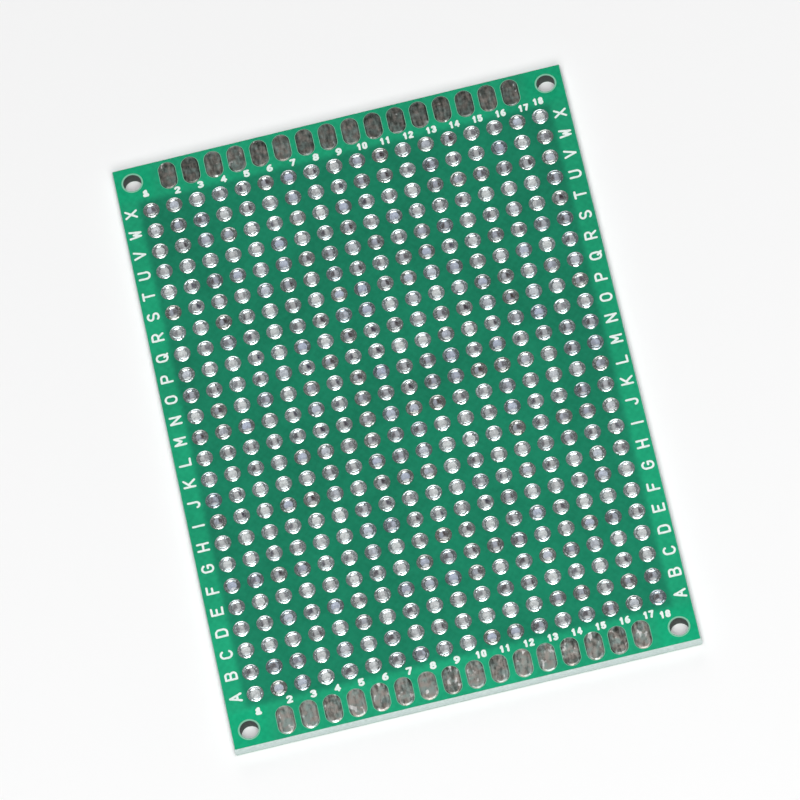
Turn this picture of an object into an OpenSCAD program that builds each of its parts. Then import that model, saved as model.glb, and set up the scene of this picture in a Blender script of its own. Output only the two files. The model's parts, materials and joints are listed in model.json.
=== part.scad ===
// Double-sided prototype board: a bare glass-fibre board drilled with a grid of
// plated lead holes. Each hole carries a tinned ring on both faces, joined by a
// plated barrel. A row of long tinned pads runs along each short edge, and each
// corner has a plain mounting hole. Millimetres, +Z up. The origin is the centre
// of the plane that the board rests on, which is the crest of its lower pads.

/* [Lead grid] */
// Distance between neighbouring lead holes
pitch = 2.54; // [2.2:0.01:3.2]
// Columns of lead holes across the short side, numbered from -X
columns = 18; // [6:1:28]
// Rows of lead holes along the long side, lettered from -Y
rows = 24; // [6:1:26]

/* [Laminate] */
// Board from the outer columns' hole centres to the long edges
side_margin = 3.41; // [2.8:0.01:8]
// Board from the outer rows' hole centres to the short edges
end_margin = 5.79; // [5.2:0.01:12]
// Thickness of the glass-fibre core
core_t = 1.5; // [0.8:0.05:3]
// Depth of the break-off groove that shaped each edge, from either face
score_depth = 0.5; // [0.1:0.05:0.55]
// Slope of that groove's side, from upright
score_angle = 15; // [5:1:30]

/* [Solder mask] */
// Thickness of the green mask on each face
mask_t = 0.03; // [0.02:0.005:0.06]
// Bare laminate left round each ring by the mask's opening
ring_clear = 0.03; // [0.03:0.01:0.15]
// Bare laminate left round each long edge pad
edge_pad_clear = 0.06; // [0.05:0.01:0.2]
// Bare laminate left round each mounting hole
mount_clear = 0.18; // [0.1:0.01:0.5]

/* [Plated lead holes] */
// Finished bore of a lead hole
lead_d = 1.0; // [0.7:0.05:1.25]
// Wall of the plated barrel
plating_t = 0.05; // [0.03:0.01:0.1]
// Outer diameter of the tinned ring
ring_d = 1.76; // [1.6:0.01:2.25]
// Height of every pad's tinned crest above the core
pad_rise = 0.1; // [0.06:0.01:0.15]
// Thickness of the foil, which is a pad's height at its rim
foil_t = 0.035; // [0.02:0.005:0.05]

/* [Edge pads] */
// Width of a long edge pad
edge_pad_w = 1.85; // [1:0.05:1.95]
// Length of a long edge pad, which has round ends
edge_pad_l = 3.2; // [2.4:0.05:3.8]
// Bare board between a long pad's outer end and the short edge
edge_pad_gap = 0.5; // [0.4:0.05:0.7]
// Width of the shoulder on which the tin of a long pad falls to its rim
shoulder_w = 0.22; // [0.12:0.01:0.4]

/* [Mounting holes] */
// Diameter of a corner mounting hole
mount_d = 2.0; // [1.5:0.1:2.4]
// Distance of a mounting hole's centre from both edges
mount_inset = 2.0; // [1.7:0.05:2.4]

/* [Hidden] */
$fn = 64;
ROW_LETTERS = "abcdefghijklmnopqrstuvwxyz";
function row_node(row) = str("pads_row_", ROW_LETTERS[row]);

// overall size
board_w = (columns - 1) * pitch + 2 * side_margin;
board_l = (rows - 1) * pitch + 2 * end_margin;

// levels
core_bottom = pad_rise;
core_top = core_bottom + core_t;
core_middle = core_bottom + core_t / 2;

// the groove leaves each face this much inside the board's widest outline
score_w = score_depth * tan(score_angle);

// radii and places
lead_r = lead_d / 2;
ring_r = ring_d / 2;
edge_pad_r = edge_pad_w / 2;
mount_x = board_w / 2 - mount_inset;
mount_y = board_l / 2 - mount_inset;
edge_pad_y = board_l / 2 - edge_pad_gap - edge_pad_l / 2;
cut_over = 0.5;

// radius of the arc that rises by rise over the distance run, where it is level
function arc_r(run, rise) = (run * run + rise * rise) / (2 * rise);

function column_x(column) = (column - (columns - 1) / 2) * pitch;
function row_y(row) = (row - (rows - 1) / 2) * pitch;

// one child at each lead hole of a row
module along_row(row) {
    for (column = [0 : columns - 1])
        translate([column_x(column), row_y(row), 0]) children();
}

// one child at each long pad of an end: end is -1 for the front and 1 for the rear,
// and the corner columns have none
module along_edge(end) {
    for (column = [1 : columns - 2])
        translate([column_x(column), end * edge_pad_y, 0]) children();
}

module at_mounting_holes() {
    for (side = [-1, 1], end = [-1, 1])
        translate([side * mount_x, end * mount_y, 0]) children();
}

// a long pad's outline, grown by clear on every side
module edge_pad_outline(clear) {
    straight = edge_pad_l - edge_pad_w;
    r = edge_pad_r + clear;
    square([2 * r, straight], center = true);
    for (end = [-1, 1])
        translate([0, end * straight / 2]) circle(r = r);
}

// a slab across the width whose edges carry the groove's slopes, seen from its end
module scored_slab(width, length) {
    half = width / 2;
    rotate([90, 0, 0])
        linear_extrude(height = length, center = true)
            polygon([
                [-half + score_w, core_bottom],
                [half - score_w, core_bottom],
                [half, core_bottom + score_depth],
                [half, core_top - score_depth],
                [half - score_w, core_top],
                [-half + score_w, core_top],
                [-half, core_top - score_depth],
                [-half, core_bottom + score_depth]
            ]);
}

// the glass-fibre core: its faces, grooved edges and all its drillings
module substrate() {
    color("#c9d2bd")
        difference() {
            intersection() {
                scored_slab(board_w, board_l + 2 * cut_over);
                rotate([0, 0, 90]) scored_slab(board_l, board_w + 2 * cut_over);
            }
            for (row = [0 : rows - 1])
                along_row(row)
                    cylinder(r = lead_r + plating_t, h = core_top + cut_over);
            at_mounting_holes()
                cylinder(d = mount_d, h = core_top + cut_over);
        }
}

// the mask of one face, from level z up, open round every pad and mounting hole
module solder_mask(z) {
    through = mask_t + 2 * cut_over;
    color("#0c8f5a")
        difference() {
            translate([-board_w / 2 + score_w, -board_l / 2 + score_w, z])
                cube([board_w - 2 * score_w, board_l - 2 * score_w, mask_t]);
            translate([0, 0, z - cut_over]) {
                for (row = [0 : rows - 1])
                    along_row(row)
                        cylinder(r = ring_r + ring_clear, h = through);
                for (end = [-1, 1])
                    along_edge(end)
                        linear_extrude(height = through)
                            edge_pad_outline(edge_pad_clear);
                at_mounting_holes()
                    cylinder(r = mount_d / 2 + mount_clear, h = through);
            }
        }
}

// what lies under the domed tin between two radii, on the foil's rims at both
module ring_section(inner, outer) {
    run = (outer - inner) / 2;
    r = arc_r(run, pad_rise - foil_t);
    intersection() {
        translate([inner + run, pad_rise - r]) circle(r = r);
        translate([inner, 0]) square([2 * run, pad_rise]);
    }
}

// a plated lead hole: a ring on each face and the barrel that joins them
module plated_hole() {
    translate([0, 0, core_middle])
        rotate_extrude() {
            translate([lead_r, -core_t / 2]) square([plating_t, core_t]);
            for (face = [0, 1])
                mirror([0, face])
                    translate([0, core_t / 2]) ring_section(lead_r, ring_r);
        }
}

module pad_row(row) {
    color("#d8d8d4")
        along_row(row) plated_hole();
}

// section across a long pad, on one side of its middle: a flat crest and a shoulder
module edge_pad_section() {
    crest = edge_pad_r - shoulder_w;
    r = arc_r(shoulder_w, pad_rise - foil_t);
    square([crest, pad_rise]);
    intersection() {
        translate([crest, pad_rise - r]) circle(r = r);
        translate([crest, 0]) square([shoulder_w, pad_rise]);
    }
}

// a long tinned pad standing on z = 0
module edge_pad() {
    straight = edge_pad_l - edge_pad_w;
    rotate([90, 0, 0])
        linear_extrude(height = straight, center = true)
            for (side = [0, 1]) mirror([side, 0]) edge_pad_section();
    for (turn = [0, 180])
        rotate([0, 0, turn])
            translate([0, straight / 2, 0])
                rotate_extrude(angle = 180) edge_pad_section();
}

module edge_pads_on_top(end) {
    color("#8f908c")
        translate([0, 0, core_top]) along_edge(end) edge_pad();
}

module edge_pads_below(end) {
    color("#8f908c")
        translate([0, 0, core_bottom]) mirror([0, 0, 1]) along_edge(end) edge_pad();
}

substrate();
solder_mask(core_top);  // solder_mask_top
solder_mask(core_bottom - mask_t);  // solder_mask_bottom
for (row = [0 : rows - 1])
    pad_row(row);
edge_pads_on_top(-1);  // edge_pads_front_top
edge_pads_below(-1);  // edge_pads_front_bottom
edge_pads_on_top(1);  // edge_pads_rear_top
edge_pads_below(1);  // edge_pads_rear_bottom
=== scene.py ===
"""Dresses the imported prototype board: printed legend, materials, floor, light and camera.

Everything is in metres in the CAD frame. The board lies flat, top face up, with row A at the
front (-Y) and column 1 at the left (-X). Sizes of the print and of surface detail are written
in millimetres, as the board's drawing would give them.
"""

import json
import math

import bpy
import numpy as np
from mathutils import Matrix, Vector
from mathutils.geometry import tessellate_polygon


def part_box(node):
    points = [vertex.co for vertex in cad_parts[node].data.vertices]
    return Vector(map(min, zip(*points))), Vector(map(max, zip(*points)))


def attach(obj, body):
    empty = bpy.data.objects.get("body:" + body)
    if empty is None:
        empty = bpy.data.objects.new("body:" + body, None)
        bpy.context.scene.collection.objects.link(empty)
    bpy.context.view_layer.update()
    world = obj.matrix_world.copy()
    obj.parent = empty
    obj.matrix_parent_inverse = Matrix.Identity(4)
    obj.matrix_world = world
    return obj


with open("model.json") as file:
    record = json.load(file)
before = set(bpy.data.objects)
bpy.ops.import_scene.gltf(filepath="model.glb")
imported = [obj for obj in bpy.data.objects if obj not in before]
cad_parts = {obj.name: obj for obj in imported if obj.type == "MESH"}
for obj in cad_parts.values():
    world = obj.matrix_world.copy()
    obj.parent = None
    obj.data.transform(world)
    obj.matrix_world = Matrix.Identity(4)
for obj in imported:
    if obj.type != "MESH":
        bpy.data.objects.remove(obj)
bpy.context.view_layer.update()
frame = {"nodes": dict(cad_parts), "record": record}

MM = 0.001

# the lead grid, the middles of mounting holes and long pads, and the core's levels, in mm, as
# the part's source has them
PITCH = 2.54
COLUMNS = 18
ROWS = 24
MOUNT_X, MOUNT_Y, MOUNT_R = 23.0, 33.0, 1.0
EDGE_PAD_Y = 32.9
CORE_T = 1.5
MID_Z = 0.85


def column_x(column):
    return (column - (COLUMNS - 1) / 2) * PITCH


def row_y(row):
    return (row - (ROWS - 1) / 2) * PITCH


# ---------------------------------------------------------------- drawing of the characters

def arc(cx, cy, rx, ry, start, end):
    """Points on part of an ellipse, from start to end in degrees."""
    steps = max(6, round(abs(end - start) / 12))
    return [
        (cx + rx * math.cos(math.radians(a)), cy + ry * math.sin(math.radians(a)))
        for a in np.linspace(start, end, steps + 1)
    ]


ROUND = arc(2, 4, 2, 2, 0, 180) + arc(2, 2, 2, 2, 180, 360) + [(4, 4)]
BOWL = [(0, 6)] + arc(2.4, 4.4, 1.6, 1.6, 90, -90) + [(0, 2.8)]
HOOK = arc(2, 4, 2, 2, 30, 180) + arc(2, 2, 2, 2, 180, 330)

# centrelines of the characters: letters on a grid 4 wide and 6 high, figures 3 wide and 6 high
GRID_HIGH, LETTER_WIDE, FIGURE_WIDE = 6, 4, 3
STROKES = {
    "A": [[(0, 0), (2, 6), (4, 0)], [(0.7, 2.1), (3.3, 2.1)]],
    "B": [
        [(0, 0), (0, 6)] + arc(2.4, 4.6, 1.4, 1.4, 90, -90) + [(0, 3.2)],
        [(2.3, 3.2)] + arc(2.4, 1.6, 1.6, 1.6, 90, -90) + [(0, 0)],
    ],
    "C": [HOOK],
    "D": [[(0, 0), (0, 6)] + arc(2, 4, 2, 2, 90, 0) + arc(2, 2, 2, 2, 0, -90) + [(0, 0)]],
    "E": [[(3.8, 6), (0, 6), (0, 0), (3.8, 0)], [(0, 3.1), (3, 3.1)]],
    "F": [[(3.8, 6), (0, 6), (0, 0)], [(0, 3.1), (3, 3.1)]],
    "G": [arc(2, 4, 2, 2, 30, 180) + arc(2, 2, 2, 2, 180, 360) + [(4, 2.8), (2.4, 2.8)]],
    "H": [[(0, 0), (0, 6)], [(4, 0), (4, 6)], [(0, 3), (4, 3)]],
    "I": [[(2, 0), (2, 6)]],
    "J": [[(3.4, 6)] + arc(1.8, 1.7, 1.6, 1.7, 0, -165)],
    "K": [[(0, 0), (0, 6)], [(3.9, 6), (0, 2.2)], [(1.4, 3.5), (4, 0)]],
    "L": [[(0.2, 6), (0.2, 0), (3.8, 0)]],
    "M": [[(0, 0), (0, 6), (2, 2.2), (4, 6), (4, 0)]],
    "N": [[(0, 0), (0, 6), (4, 0), (4, 6)]],
    "O": [ROUND],
    "P": [[(0, 0)] + BOWL],
    "Q": [ROUND, [(2.4, 1.7), (4.2, -0.2)]],
    "R": [[(0, 0)] + BOWL, [(2, 2.8), (4, 0)]],
    "S": [arc(2, 4.45, 1.9, 1.55, 30, 270) + arc(2, 1.45, 1.9, 1.45, 90, -150)],
    "T": [[(0, 6), (4, 6)], [(2, 6), (2, 0)]],
    "U": [[(0, 6)] + arc(2, 2, 2, 2, 180, 360) + [(4, 6)]],
    "V": [[(0, 6), (2, 0), (4, 6)]],
    "W": [[(0, 6), (0.9, 0), (2, 4), (3.1, 0), (4, 6)]],
    "X": [[(0, 0), (4, 6)], [(0, 6), (4, 0)]],
    "0": [arc(1.5, 4.5, 1.5, 1.5, 0, 180) + arc(1.5, 1.5, 1.5, 1.5, 180, 360) + [(3, 4.5)]],
    "1": [[(0.7, 4.7), (1.8, 6), (1.8, 0)]],
    "footed 1": [[(0.5, 4.7), (1.6, 6), (1.6, 0)], [(0.3, 0), (2.9, 0)]],
    "2": [arc(1.5, 4.5, 1.5, 1.5, 165, -40) + [(0, 0), (3, 0)]],
    "3": [arc(1.4, 4.5, 1.5, 1.5, 150, -90), arc(1.4, 1.55, 1.6, 1.55, 90, -150)],
    "4": [[(2.3, 0), (2.3, 6), (0, 1.8), (3.2, 1.8)]],
    "5": [[(2.8, 6), (0.3, 6), (0.1, 3.4)] + arc(1.4, 1.9, 1.6, 1.9, 115, -150)],
    "6": [arc(1.5, 1.7, 1.5, 1.7, 0, 360), arc(2.7, 2.0, 2.7, 4.0, 180, 95)],
    "7": [[(0, 6), (3, 6), (1.1, 0)]],
    "8": [arc(1.5, 4.55, 1.35, 1.45, 0, 360), arc(1.5, 1.55, 1.5, 1.55, 0, 360)],
    "9": [arc(1.5, 4.3, 1.5, 1.7, 0, 360), arc(0.3, 4.0, 2.7, 4.0, 0, -85)],
}

# a cell's corners are bits 1, 2, 4, 8 from its lower left, anticlockwise; each pair is the side
# by which the ink's outline enters the cell and the side by which it leaves, ink on the left
BELOW, RIGHT, ABOVE, LEFT = range(4)
CELL_CASES = {
    1: [(BELOW, LEFT)], 2: [(RIGHT, BELOW)], 3: [(RIGHT, LEFT)], 4: [(ABOVE, RIGHT)],
    5: [(BELOW, LEFT), (ABOVE, RIGHT)], 6: [(ABOVE, BELOW)], 7: [(ABOVE, LEFT)],
    8: [(LEFT, ABOVE)], 9: [(BELOW, ABOVE)], 10: [(RIGHT, BELOW), (LEFT, ABOVE)],
    11: [(RIGHT, ABOVE)], 12: [(LEFT, RIGHT)], 13: [(BELOW, RIGHT)], 14: [(LEFT, BELOW)],
}


def outlines(field, step, origin):
    """Closed loops along the zero line of a field sampled on a square grid."""
    inside = (field > 0).astype(int)
    code = inside[:-1, :-1] + 2 * inside[1:, :-1] + 4 * inside[1:, 1:] + 8 * inside[:-1, 1:]

    def crossing(i, j, side):
        if side == RIGHT:
            i, side = i + 1, LEFT
        if side == ABOVE:
            j, side = j + 1, BELOW
        return i, j, side

    leaves = {}
    for i, j in zip(*np.nonzero((code > 0) & (code < 15))):
        for enter, leave in CELL_CASES[int(code[i, j])]:
            leaves[crossing(i, j, enter)] = crossing(i, j, leave)

    def point(key):
        i, j, side = key
        di, dj = (0, 1) if side == LEFT else (1, 0)
        a, b = field[i, j], field[i + di, j + dj]
        t = a / (a - b)
        return origin[0] + (i + di * t) * step, origin[1] + (j + dj * t) * step

    loops = []
    while leaves:
        first = key = next(iter(leaves))
        loop = []
        while key in leaves:
            loop.append(point(key))
            key = leaves.pop(key)
        assert key == first
        loops.append(np.array(loop))
    return loops


def thinned(points, tolerance):
    """An open run of points without those that lie within tolerance of the rest's line."""
    a, b = points[0], points[-1]
    along = b - a
    length = np.hypot(*along)
    rel = points - a
    if length > 1e-9:
        off = np.abs(rel[:, 0] * along[1] - rel[:, 1] * along[0]) / length
    else:
        off = np.hypot(*rel.T)
    worst = int(np.argmax(off))
    if off[worst] <= tolerance:
        return [a]
    return thinned(points[: worst + 1], tolerance) + thinned(points[worst:], tolerance)


# samples of the ink's field across a stroke, and what a loop may lose in thinning, in mm
SAMPLES, THINNING = 6, 0.0015
# how much a stroke's width swells and shrinks, and how quickly along x and y
SWELLING, SWELLING_X, SWELLING_Y = 0.09, 1.46, 1.78


def character(symbol, height, pen, phase, stretch=1.0):
    """Outline loops in mm of a printed character whose height includes the pen's width."""
    unit = (height - pen) / GRID_HIGH
    segments = []
    for stroke in STROKES[symbol]:
        line = np.array(stroke, float) * (unit * stretch, unit)
        segments += list(zip(line[:-1], line[1:]))
    ends = np.array(segments).reshape(-1, 2)
    step = pen / SAMPLES
    low = ends.min(0) - pen
    counts = np.ceil((ends.max(0) + pen - low) / step).astype(int) + 1
    gx, gy = np.meshgrid(*(low[k] + np.arange(counts[k]) * step for k in (0, 1)), indexing="ij")
    at = np.stack([gx, gy], -1)
    distance = np.full(gx.shape, np.inf)
    for a, b in segments:
        along = b - a
        share = np.clip(((at - a) @ along) / max(along @ along, 1e-12), 0, 1)
        gap = at - a - share[..., None] * along
        distance = np.minimum(distance, np.hypot(*np.moveaxis(gap, -1, 0)))
    # screen-printed ink swells and shrinks a little along a stroke
    swell = np.sin(gx * SWELLING_X / pen + phase) * np.sin(gy * SWELLING_Y / pen + 2.1 * phase)
    loops = []
    for loop in outlines(pen / 2 * (1 + SWELLING * swell) - distance, step, low):
        half = len(loop) // 2
        ring = np.vstack([loop, loop[:1]])
        kept = thinned(ring[: half + 1], THINNING) + thinned(ring[half:], THINNING)
        if len(kept) > 3:
            loops.append(np.array(kept))
    return loops


# ---------------------------------------------------------------- printed legend

LETTER_HIGH, LETTER_PEN = 1.4, 0.23
LETTER_X, LETTER_DROP = 23.8, 0.07
FIGURE_HIGH, FIGURE_PEN = 0.87, 0.24
# the first number is drawn with a heavier pen than the rest
FIRST_PEN = 0.38
# a figure by itself is wider, and one beside another stands its width and this many pens on
SINGLE_STRETCH, PENS_ON = 1.4, 1.28
# the numbers' distance from the middle of the board, the outermost two by themselves
FIGURE_Y, FIRST_FIGURE_Y, LAST_FIGURE_Y = 30.8, 31.3, 31.17
# a number stands this far to the right of its column, between two long pads, and the numbers
# are spread a little wider than the columns
FIGURE_SHIFT, FIGURE_SPREAD = 0.88, 1.008
# steps from character to character in the phase of their ink's swelling
LETTER_PHASE, FIGURE_PHASE = 1.7, 2.3
# the ink's height over the mask, and how far it is sunk into it
INK_T, INK_SUNK = 0.018, 0.002
# the printing screen's shift to the right, and its turns of the columns and of the rows
SCREEN_SHIFT, COLUMNS_TURN, ROWS_TURN = 0.04, 0.0026, 0.0044


def askew(x, y):
    """Where the printing screen, laid a little askew, puts a place of the drawing."""
    return np.array([x + SCREEN_SHIFT - COLUMNS_TURN * y, y - ROWS_TURN * x])


def figures(symbols, pen, phase):
    """A number's characters side by side, centred on the origin, in mm."""
    stretch = SINGLE_STRETCH if len(symbols) == 1 else 1.0
    high = FIGURE_HIGH - pen
    wide = FIGURE_WIDE * stretch * high / GRID_HIGH
    advance = wide + pen * PENS_ON
    made = []
    for k, symbol in enumerate(symbols):
        shift = np.array([(k - (len(symbols) - 1) / 2) * advance - wide / 2, -high / 2])
        glyph = character(symbol, FIGURE_HIGH, pen, phase + k, stretch)
        made += [loop + shift for loop in glyph]
    return made


def legend_loops():
    """Every printed character's loops on the board's face, in mm."""
    groups = []
    high = LETTER_HIGH - LETTER_PEN
    middle = np.array([LETTER_WIDE / 2 * high / GRID_HIGH, high / 2])
    for row in range(ROWS):
        for side in (-1, 1):
            centre = askew(side * LETTER_X, row_y(row) - LETTER_DROP)
            phase = row * LETTER_PHASE + side
            glyph = character(chr(ord("A") + row), LETTER_HIGH, LETTER_PEN, phase)
            # a quarter turn anticlockwise, so the letters' tops point to -X
            places = [(loop - middle).T for loop in glyph]
            groups.append([np.stack([-y, x], 1) + centre for x, y in places])
    for column in range(COLUMNS):
        symbols, shift, y, pen = list(str(column + 1)), FIGURE_SHIFT, FIGURE_Y, FIGURE_PEN
        if column == 0:
            symbols, shift, y, pen = ["footed 1"], 0.0, FIRST_FIGURE_Y, FIRST_PEN
        if column == COLUMNS - 1:
            shift, y = 0.0, LAST_FIGURE_Y
        for end in (-1, 1):
            centre = askew(column_x(column) * FIGURE_SPREAD + shift, end * y)
            glyph = figures(symbols, pen, column * FIGURE_PHASE + end)
            groups.append([loop + centre for loop in glyph])
    return groups


def loop_area(loop):
    x, y = loop.T
    return 0.5 * float(np.sum(x * np.roll(y, -1) - np.roll(x, -1) * y))


def holds(outer, point):
    """Whether a loop goes round a point."""
    x, y = outer.T
    x2, y2 = np.roll(x, -1), np.roll(y, -1)
    crosses = ((y > point[1]) != (y2 > point[1])) & (
        point[0] < (x2 - x) * (point[1] - y) / np.where(y2 == y, 1, y2 - y) + x
    )
    return bool(crosses.sum() % 2)


def add_film(verts, faces, rings, low, high):
    """Adds a closed film over an outline less its inner outlines, between two heights."""
    base = len(verts)
    flat = [p for r in rings for p in r]
    n = len(flat)
    verts += [(x * MM, y * MM, z) for z in (low, high) for x, y in flat]
    for a, b, c in tessellate_polygon([[Vector((x, y, 0)) for x, y in r] for r in rings]):
        pa, pb, pc = (np.array(flat[k]) for k in (a, b, c))
        u, v = pb - pa, pc - pa
        if u[0] * v[1] - u[1] * v[0] < 0:
            b, c = c, b
        faces.append((base + n + a, base + n + b, base + n + c))
        faces.append((base + c, base + b, base + a))
    start = base
    for r in rings:
        for k in range(len(r)):
            a, b = start + k, start + (k + 1) % len(r)
            faces.append((a, b, n + b, n + a))
        start += len(r)


def legend(name, low, high, mirrored):
    """One face's print as closed films of ink between two heights in metres."""
    verts, faces = [], []
    for group in legend_loops():
        outers = [g for g in group if loop_area(g) > 0]
        inners = [g for g in group if loop_area(g) <= 0]
        # each character of a mirrored face turns about its own middle, and reads from below
        span = (np.vstack(group).max(0) + np.vstack(group).min(0))[0]
        for outer in outers:
            rings = [outer] + [g for g in inners if holds(outer, g[0])]
            if mirrored:
                rings = [np.stack([span - r[:, 0], r[:, 1]], 1)[::-1] for r in rings]
            add_film(verts, faces, rings, low, high)
    mesh = bpy.data.meshes.new(name)
    mesh.from_pydata(verts, [], faces)
    mesh.update()
    made = bpy.data.objects.new(name, mesh)
    bpy.context.scene.collection.objects.link(made)
    return made


mask_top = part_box("solder_mask_top")[1].z
mask_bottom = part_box("solder_mask_bottom")[0].z
legend_top = legend(
    "legend_top", mask_top - INK_SUNK * MM, mask_top + INK_T * MM, mirrored=False)
legend_bottom = legend(
    "legend_bottom", mask_bottom - INK_T * MM, mask_bottom + INK_SUNK * MM, mirrored=True)


# ---------------------------------------------------------------- materials

class Tree:
    """Adds nodes to one material or world. Names of inputs are keys of a node's values."""

    def __init__(self, owner):
        owner.use_nodes = True
        self.tree = owner.node_tree
        self.tree.nodes.clear()

    def put(self, socket, value):
        """Links a node's output to an input, or sets the input to a plain value."""
        if isinstance(value, bpy.types.NodeSocket):
            self.tree.links.new(value, socket)
        else:
            socket.default_value = value

    def add(self, kind, values=None, out=0, **settings):
        made = self.tree.nodes.new("ShaderNode" + kind)
        for key, value in settings.items():
            setattr(made, key, value)
        for key, value in (values or {}).items():
            self.put(made.inputs[key], value)
        return made.outputs[out]

    def math(self, operation, a, b=0.0):
        return self.add("Math", {0: a, 1: b}, operation=operation)

    def unit(self, wave):
        """A wave's height, shifted from -1 to 1 to 0 to 1."""
        return self.add("Math", {0: wave, 1: 0.5, 2: 0.5}, operation="MULTIPLY_ADD")

    def times(self, vector, by):
        return self.add("VectorMath", {0: vector, 1: by}, operation="MULTIPLY")

    def split(self, vector):
        node = self.tree.nodes.new("ShaderNodeSeparateXYZ")
        self.tree.links.new(vector, node.inputs[0])
        return node.outputs

    def ramp(self, value, low, high, to_low=0.0, to_high=1.0):
        """A value's smooth rise from to_low at low to to_high at high."""
        limits = {"From Min": low, "From Max": high, "To Min": to_low, "To Max": to_high}
        return self.add("MapRange", {"Value": value, **limits}, interpolation_type="SMOOTHSTEP")

    def mix(self, share, a, b):
        """A colour between a and b."""
        made = self.tree.nodes.new("ShaderNodeMix")
        made.data_type = "RGBA"
        # a mix node's colours are its seventh and eighth inputs and its third output
        for k, value in ((0, share), (6, a), (7, b)):
            self.put(made.inputs[k], value)
        return made.outputs[2]

    def noise(self, vector, scale, detail=2.0, roughness=0.5):
        values = {"Vector": vector, "Scale": scale, "Detail": detail, "Roughness": roughness}
        return self.add("TexNoise", values)

    def millimetres(self):
        """The place in the CAD frame, in mm."""
        return self.times(self.add("TexCoord", out="Object"), (1 / MM, 1 / MM, 1 / MM))

    def bump(self, height, distance_mm, normal=None):
        values = {"Height": height, "Distance": distance_mm * MM, "Strength": 1.0}
        if normal is not None:
            values["Normal"] = normal
        return self.add("Bump", values)

    def surface(self, values):
        self.show(self.add("BsdfPrincipled", values))

    def show(self, shader):
        target = self.tree.nodes.new("ShaderNodeOutputMaterial")
        self.tree.links.new(shader, target.inputs["Surface"])


def colour(r, g, b):
    return (r, g, b, 1.0)


def new_material(name):
    made = bpy.data.materials.new(name)
    return made, Tree(made)


# distances between the threads of the glass weave
THREAD_X, THREAD_Y = 0.42, 0.46
# where the lead grid's dark green, a painted shade, gives way to the margins' green, and where the
# corners' green begins and is full
SHADED_FIELD_X, SHADED_FIELD_Y = (22.4, 23.3), (30.0, 31.0)
CORNER_X, CORNER_Y = (20.2, 21.4), (30.2, 31.4)


def mask_material():
    """Green solder mask: painted shade between the rings, lighter on the margins and at the
    corners.
    """
    mat, t = new_material("solder_mask_film")
    place = t.millimetres()
    x, y, _ = t.split(place)
    across, along = t.math("ABSOLUTE", x), t.math("ABSOLUTE", y)
    in_x, in_y = t.ramp(across, *SHADED_FIELD_X, 1.0, 0.0), t.ramp(along, *SHADED_FIELD_Y, 1.0, 0.0)
    field = t.math("MULTIPLY", in_x, in_y)
    corner = t.math("MULTIPLY", t.ramp(across, *CORNER_X), t.ramp(along, *CORNER_Y))
    margin = t.mix(corner, colour(0.009, 0.326, 0.162), colour(0.004, 0.352, 0.168))
    # painted shade: the mask is darker between the rings than on the margins
    base = t.mix(field, margin, colour(0.006, 0.200, 0.106))
    # the weave of the laminate shows through the mask
    warp = t.math("SINE", t.math("MULTIPLY", x, math.pi / THREAD_X))
    weft = t.math("SINE", t.math("MULTIPLY", y, math.pi / THREAD_Y))
    threads = t.unit(t.math("MULTIPLY", warp, weft))
    tone = t.ramp(t.noise(place, 0.11, 3.0), 0.3, 0.7, -0.09, 0.09)
    grain = t.noise(place, 1.6, 4.0, 0.6)
    mask_tone_and_light = t.math("ADD", tone, t.ramp(grain, 0.3, 0.7, -0.07, 0.07))
    mask_tone_and_light = t.math("ADD", mask_tone_and_light, t.math("MULTIPLY", threads, 0.08))
    # painted light: lighter towards the front
    mask_tone_and_light = t.math("ADD", mask_tone_and_light, t.ramp(y, -34.0, 6.0, 0.08, -0.02))
    tinted = t.add("HueSaturation", {"Color": base, "Value": t.math("ADD", mask_tone_and_light, 1.0)})
    relief = t.bump(threads, 0.0016)
    relief = t.bump(t.noise(place, 2.4, 2.0), 0.004, relief)
    t.surface({
        "Base Color": tinted,
        "Roughness": t.ramp(grain, 0.25, 0.75, 0.17, 0.27),
        "IOR": 1.5,
        "Specular IOR Level": 0.42,
        "Normal": relief,
    })
    return mat


# thickness of a ply of glass cloth
PLY = 0.185


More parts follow.
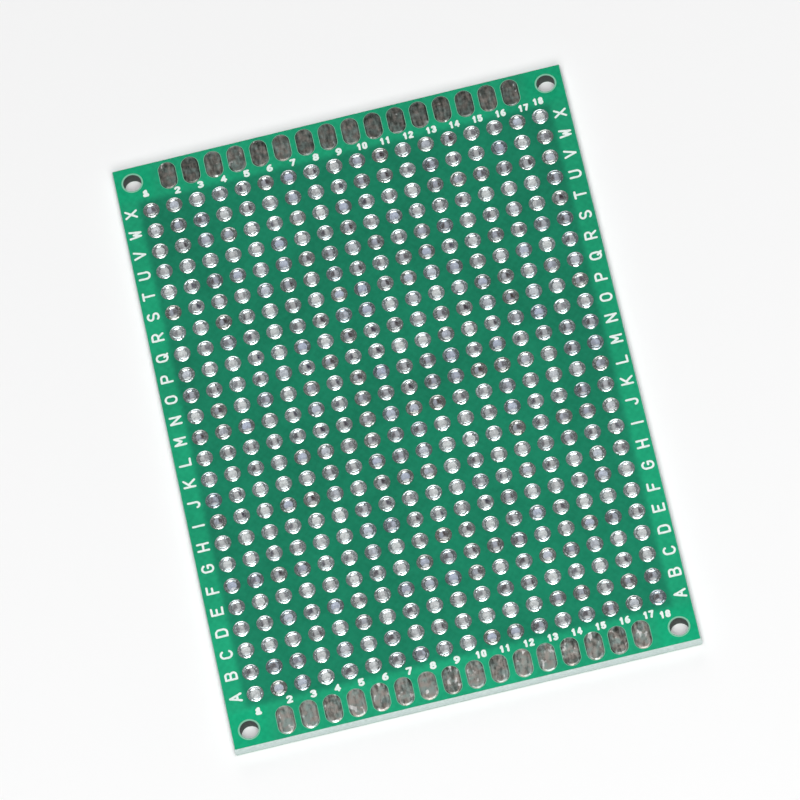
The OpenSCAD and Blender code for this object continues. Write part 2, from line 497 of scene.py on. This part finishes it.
def laminate_material():
    """Glass-fibre laminate: plies and cut fibre ends on its edges, green skins with painted shade
    round the rings, holes painted dark as shade.
    """
    mat, t = new_material("glass_laminate")
    place = t.millimetres()
    x, y, z = t.split(place)
    drift = t.noise(t.times(place, (0.35, 0.35, 0.35)), 1.0, 2.0)
    level = t.math("ADD", z, t.math("MULTIPLY", drift, 0.09))
    plies = t.unit(t.math("SINE", t.math("MULTIPLY", level, 2 * math.pi / PLY)))
    bundles = t.noise(t.times(place, (2.6, 2.6, 11.0)), 1.0, 3.0, 0.6)
    fibres = t.noise(t.times(place, (9.0, 9.0, 40.0)), 1.0, 3.0, 0.7)
    pale = t.mix(t.ramp(bundles, 0.36, 0.64), colour(0.54, 0.66, 0.63), colour(0.72, 0.83, 0.82))
    streaked = t.mix(t.ramp(plies, 0.05, 0.5, 0.0, 0.35), pale, colour(0.44, 0.56, 0.51))
    cut = t.mix(t.ramp(fibres, 0.55, 0.8, 0.0, 0.5), streaked, colour(0.84, 0.91, 0.90))
    # the faces show only inside the mask's openings: painted shade darkens them round the rings,
    # and they are paler at the ends
    at_ends = t.ramp(t.math("ABSOLUTE", y), 30.4, 30.8)
    skin_and_gap_shade = t.mix(at_ends, colour(0.05, 0.16, 0.10), colour(0.22, 0.54, 0.38))
    from_middle = t.math("ABSOLUTE", t.math("SUBTRACT", z, MID_Z))
    outside = t.mix(t.ramp(from_middle, CORE_T / 2 - 0.02, CORE_T / 2 - 0.005), cut, skin_and_gap_shade)
    # a mounting hole is painted dark as shade but for the rims of its wall
    off_x = t.math("SUBTRACT", t.math("ABSOLUTE", x), MOUNT_X)
    off_y = t.math("SUBTRACT", t.math("ABSOLUTE", y), MOUNT_Y)
    squares = t.math("ADD", t.math("POWER", off_x, 2.0), t.math("POWER", off_y, 2.0))
    wall = t.ramp(t.math("SQRT", squares), MOUNT_R + 0.005, MOUNT_R + 0.02, 1.0, 0.0)
    at_rim = t.ramp(from_middle, CORE_T / 2 - 0.05, CORE_T / 2, 1.0, 0.3)
    painted_hole_shade = t.math("MULTIPLY", wall, at_rim)
    height = t.math("ADD", t.math("MULTIPLY", plies, 0.5), fibres)
    t.surface({
        "Base Color": t.mix(painted_hole_shade, outside, colour(0.055, 0.075, 0.065)),
        "Roughness": t.ramp(fibres, 0.3, 0.7, 0.5, 0.72),
        "Normal": t.bump(height, 0.012),
    })
    return mat


# a cell's size along an axis on which the board isn't divided
FAR = 1000.0


def cell(t, place, size):
    """The low corner of a place's cell in mm, and three numbers of its own from 0 to 1."""
    corner = t.add("VectorMath", {0: place, 1: size}, operation="SNAP")
    draw = t.add("TexWhiteNoise", {"Vector": corner}, out="Color", noise_dimensions="3D")
    return corner, t.split(draw)


def ring_material():
    """Bright levelled tin, uneven from hole to hole, dull and with painted shade down in the
    barrels.
    """
    mat, t = new_material("bright_tin")
    place = t.millimetres()
    x, y, z = t.split(place)
    corner, (tint, shift, barrel_shade_amount) = cell(t, place, (PITCH, PITCH, FAR))
    grain = t.noise(place, 3.2, 4.0, 0.6)
    dents = t.noise(place, 1.1, 2.0)
    tone = t.math("ADD", t.ramp(tint, 0.0, 1.0, -0.46, 0.24), t.ramp(grain, 0.3, 0.7, -0.18, 0.12))
    tarnish = t.mix(shift, colour(0.42, 0.41, 0.34), colour(0.32, 0.41, 0.47))
    bright = t.mix(t.math("ADD", tone, 0.76), tarnish, colour(0.88, 0.99, 1.0))
    # down in the barrel the tin is frosted, and painted shade darkens it on both sides of a pale
    # stripe, which lies further to the right in the front rows
    dx = t.math("SUBTRACT", t.math("SUBTRACT", x, t.split(corner)[0]), PITCH / 2)
    off_stripe = t.math("SUBTRACT", dx, t.ramp(shift, 0.1, 0.9, -0.3, 0.27))
    off_stripe = t.math("SUBTRACT", off_stripe, t.ramp(y, -29.0, -12.0, 0.24, 0.0))
    depth = t.math("ABSOLUTE", t.math("SUBTRACT", z, MID_Z))
    inside = t.ramp(depth, CORE_T / 2 - 0.07, CORE_T / 2 + 0.02, 1.0, 0.0)
    to_right, to_left = t.ramp(off_stripe, 0.13, 0.33), t.ramp(off_stripe, -0.42, -0.18, 0.9, 0.0)
    barrel_shade = t.math("MAXIMUM", to_right, to_left)
    barrel_shade = t.math("MULTIPLY", barrel_shade, t.ramp(barrel_shade_amount, 0.2, 0.8))
    barrel_shade = t.math("MULTIPLY", barrel_shade, t.ramp(depth, 0.3, 0.7, 1.0, 0.45))
    pale = t.mix(t.ramp(tint, 0.05, 0.7), colour(0.82, 0.87, 0.98), colour(0.98, 1.0, 1.0))
    # the painted shade's colour, brownish or bluish from hole to hole
    dark = t.mix(tint, colour(0.09, 0.055, 0.035), colour(0.04, 0.04, 0.10))
    t.surface({
        "Base Color": t.mix(inside, bright, t.mix(barrel_shade, pale, dark)),
        "Metallic": t.ramp(inside, 0.0, 1.0, 1.0, 0.12),
        "Roughness": t.ramp(grain, 0.3, 0.72, 0.16, 0.32),
        "Normal": t.bump(grain, 0.014, t.bump(dents, 0.11)),
    })
    return mat


def edge_pad_material():
    """Dull levelled tin: grey, drawn out lengthwise, with bright specks where it pooled."""
    mat, t = new_material("dull_tin")
    place = t.millimetres()
    _, y, _ = t.split(place)
    own = cell(t, place, (PITCH, FAR, FAR))[1][0]
    streaks = t.noise(t.times(place, (3.6, 0.9, 1.0)), 1.0, 4.0, 0.6)
    mottle = t.noise(place, 1.9, 5.0, 0.65)
    pools = t.noise(t.times(place, (1.5, 1.0, 1.0)), 1.0, 2.0, 0.5)
    streaked = t.ramp(streaks, 0.32, 0.68, 0.12, 0.46)
    body = t.math("ADD", streaked, t.ramp(mottle, 0.36, 0.68, 0.05, 0.42))
    body = t.math("ADD", body, t.ramp(own, 0.0, 1.0, -0.12, 0.12))
    # darker from the middle towards the rear end of each pad
    to_rear = t.math("SUBTRACT", y, t.math("MULTIPLY", t.math("SIGN", y), EDGE_PAD_Y))
    body = t.math("SUBTRACT", body, t.ramp(to_rear, 0.0, 1.5, 0.0, 0.16))
    # painted light makes the front row brighter than the rear one, and its pools are wider
    body = t.math("MULTIPLY", body, t.ramp(y, -20.0, 20.0, 1.75, 1.0))
    least_pool = t.math("SUBTRACT", 0.715, t.ramp(y, -20.0, 20.0, 0.06, 0.0))
    # a painted dark reflection darkens the tin where it falls to its rim
    _, _, upright = t.split(t.add("TexCoord", out="Normal"))
    body = t.math("SUBTRACT", body, t.ramp(t.math("ABSOLUTE", upright), 0.86, 0.975, 0.34, 0.0))
    tint = t.ramp(t.noise(place, 1.3, 3.0), 0.35, 0.65)
    light = t.mix(tint, colour(0.46, 0.41, 0.37), colour(0.36, 0.45, 0.42))
    grey = t.mix(body, colour(0.058, 0.066, 0.057), light)
    speck = t.ramp(t.math("SUBTRACT", pools, least_pool), -0.05, 0.04)
    t.surface({
        "Base Color": t.mix(speck, grey, colour(0.9, 0.9, 0.88)),
        "Metallic": 1.0,
        "Roughness": t.ramp(streaks, 0.3, 0.7, 0.36, 0.52),
        "Normal": t.bump(mottle, 0.03, t.bump(pools, 0.05)),
    })
    return mat


def ink_material():
    """White legend ink, thin enough to take a breath of green from the mask below."""
    mat, t = new_material("legend_ink")
    cover = t.noise(t.millimetres(), 2.8, 3.0, 0.6)
    thick = t.ramp(cover, 0.3, 0.7)
    t.surface({
        "Base Color": t.mix(thick, colour(0.74, 0.88, 0.83), colour(0.88, 0.95, 0.92)),
        "Roughness": t.ramp(cover, 0.3, 0.7, 0.45, 0.6),
        "Normal": t.bump(cover, 0.006),
    })
    return mat


finishes = {
    "laminate": laminate_material(),
    "solder_mask": mask_material(),
    "tinned_rings": ring_material(),
    "tinned_edge_pads": edge_pad_material(),
}
for subpart in frame["record"]["subparts"]:
    for slot in frame["nodes"][subpart["node"]].material_slots:
        slot.material = finishes[subpart["material_slot"]]

ink = ink_material()
for piece in (legend_top, legend_bottom):
    piece.data.materials.append(ink)
    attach(piece, "root")


# ---------------------------------------------------------------- floor, light and camera

FLOOR_HALF = 3.0
# distances from the board's middle at which the paper gives way to the backdrop
PAPER_END, BACKDROP_START = 0.08, 0.2
floor_mesh = bpy.data.meshes.new("floor")
floor_mesh.from_pydata(
    [(sx * FLOOR_HALF, sy * FLOOR_HALF, 0) for sx, sy in ((-1, -1), (1, -1), (1, 1), (-1, 1))],
    [], [(0, 1, 2, 3)],
)
floor = bpy.data.objects.new("floor", floor_mesh)
bpy.context.scene.collection.objects.link(floor)


def floor_material():
    """Pale paper near the board, an evenly white backdrop further out, clear from below."""
    mat, t = new_material("pale_floor")
    place = t.add("TexCoord", out="Object")
    reach = t.add("VectorMath", {0: place}, out="Value", operation="LENGTH")
    paper = t.add("BsdfDiffuse", {"Color": colour(0.93, 0.93, 0.93), "Roughness": 0.5})
    backdrop = t.add("Emission", {"Color": colour(1.0, 1.0, 1.0), "Strength": 0.96})
    further = t.ramp(reach, PAPER_END, BACKDROP_START)
    from_above = t.add("MixShader", {0: further, 1: paper, 2: backdrop})
    clear = t.add("BsdfTransparent")
    below = t.add("NewGeometry", out="Backfacing")
    t.show(t.add("MixShader", {0: below, 1: from_above, 2: clear}))
    return mat


floor_mesh.materials.append(floor_material())

# the room's light: its strength at the horizon and above, and the angles between which it falls
HORIZON, ROOM = 0.96, 0.17
HORIZON_END, ROOM_START = math.radians(3), math.radians(12)
# the panel: how high and how far to the left its middle stands, its strength, and the angles
# from its middle between which it fades
PANEL_TILT, PANEL_TURN, PANEL = math.radians(27), math.radians(2), 1.9
PANEL_FULL, PANEL_END = math.radians(14), math.radians(20)


def studio_world():
    """A dim room, a pale horizon and a soft panel low behind the board."""
    made = bpy.data.worlds.new("studio")
    t = Tree(made)
    way = t.add("TexCoord", out="Generated")
    _, _, up = t.split(way)
    room = t.ramp(up, math.sin(HORIZON_END), math.sin(ROOM_START), HORIZON, ROOM)
    aim = (
        -math.sin(PANEL_TURN) * math.cos(PANEL_TILT),
        math.cos(PANEL_TURN) * math.cos(PANEL_TILT),
        math.sin(PANEL_TILT),
    )
    nearness = t.add("VectorMath", {0: way, 1: aim}, out="Value", operation="DOT_PRODUCT")
    panel = t.ramp(nearness, math.cos(PANEL_END), math.cos(PANEL_FULL), 0.0, PANEL)
    strength = t.math("ADD", room, panel)
    target = t.tree.nodes.new("ShaderNodeOutputWorld")
    back = t.add("Background", {"Color": colour(1.0, 1.0, 1.0), "Strength": strength})
    t.tree.links.new(back, target.inputs["Surface"])
    return made


bpy.context.scene.world = studio_world()


def soft_lamp(name, away, tilt_deg, width, length, power):
    """A lamp that looks at the board from this far away, tilted from upright towards -Y."""
    data = bpy.data.lights.new(name, "AREA")
    data.shape, data.size, data.size_y, data.energy = "RECTANGLE", width, length, power
    tilt = math.radians(tilt_deg)
    place = away * Vector((0, -math.sin(tilt), math.cos(tilt)))
    lamp = bpy.data.objects.new(name, data)
    lamp.location = place
    lamp.rotation_euler = place.to_track_quat("Z", "Y").to_euler()
    lamp.visible_camera = False
    bpy.context.scene.collection.objects.link(lamp)


soft_lamp("overhead", away=0.8, tilt_deg=27, width=0.46, length=0.76, power=6.1)

# the photograph's viewpoint over the board, aimed at the board's middle through a long lens
VIEWPOINT = Vector((15.4, -324.3, 664.4)) * MM
TARGET = Vector((0, 0, 1.7)) * MM
ROLL = math.radians(-15.968)
LENS, SENSOR = 313, 36
CLIP_START, CLIP_END = 0.01, 20

forward = (TARGET - VIEWPOINT).normalized()
level = forward.cross(Vector((0, 0, 1))).normalized()
right = math.cos(ROLL) * level + math.sin(ROLL) * level.cross(forward)
upward = right.cross(forward)
camera_data = bpy.data.cameras.new("camera")
camera_data.lens = LENS
camera_data.sensor_width = SENSOR
camera_data.clip_start, camera_data.clip_end = CLIP_START, CLIP_END
camera = bpy.data.objects.new("camera", camera_data)
camera.matrix_world = Matrix.Translation(VIEWPOINT) @ Matrix(
    [[right[k], upward[k], -forward[k]] for k in range(3)]
).to_4x4()
bpy.context.scene.collection.objects.link(camera)
bpy.context.scene.camera = camera
bpy.context.scene.view_settings.view_transform = "Standard"
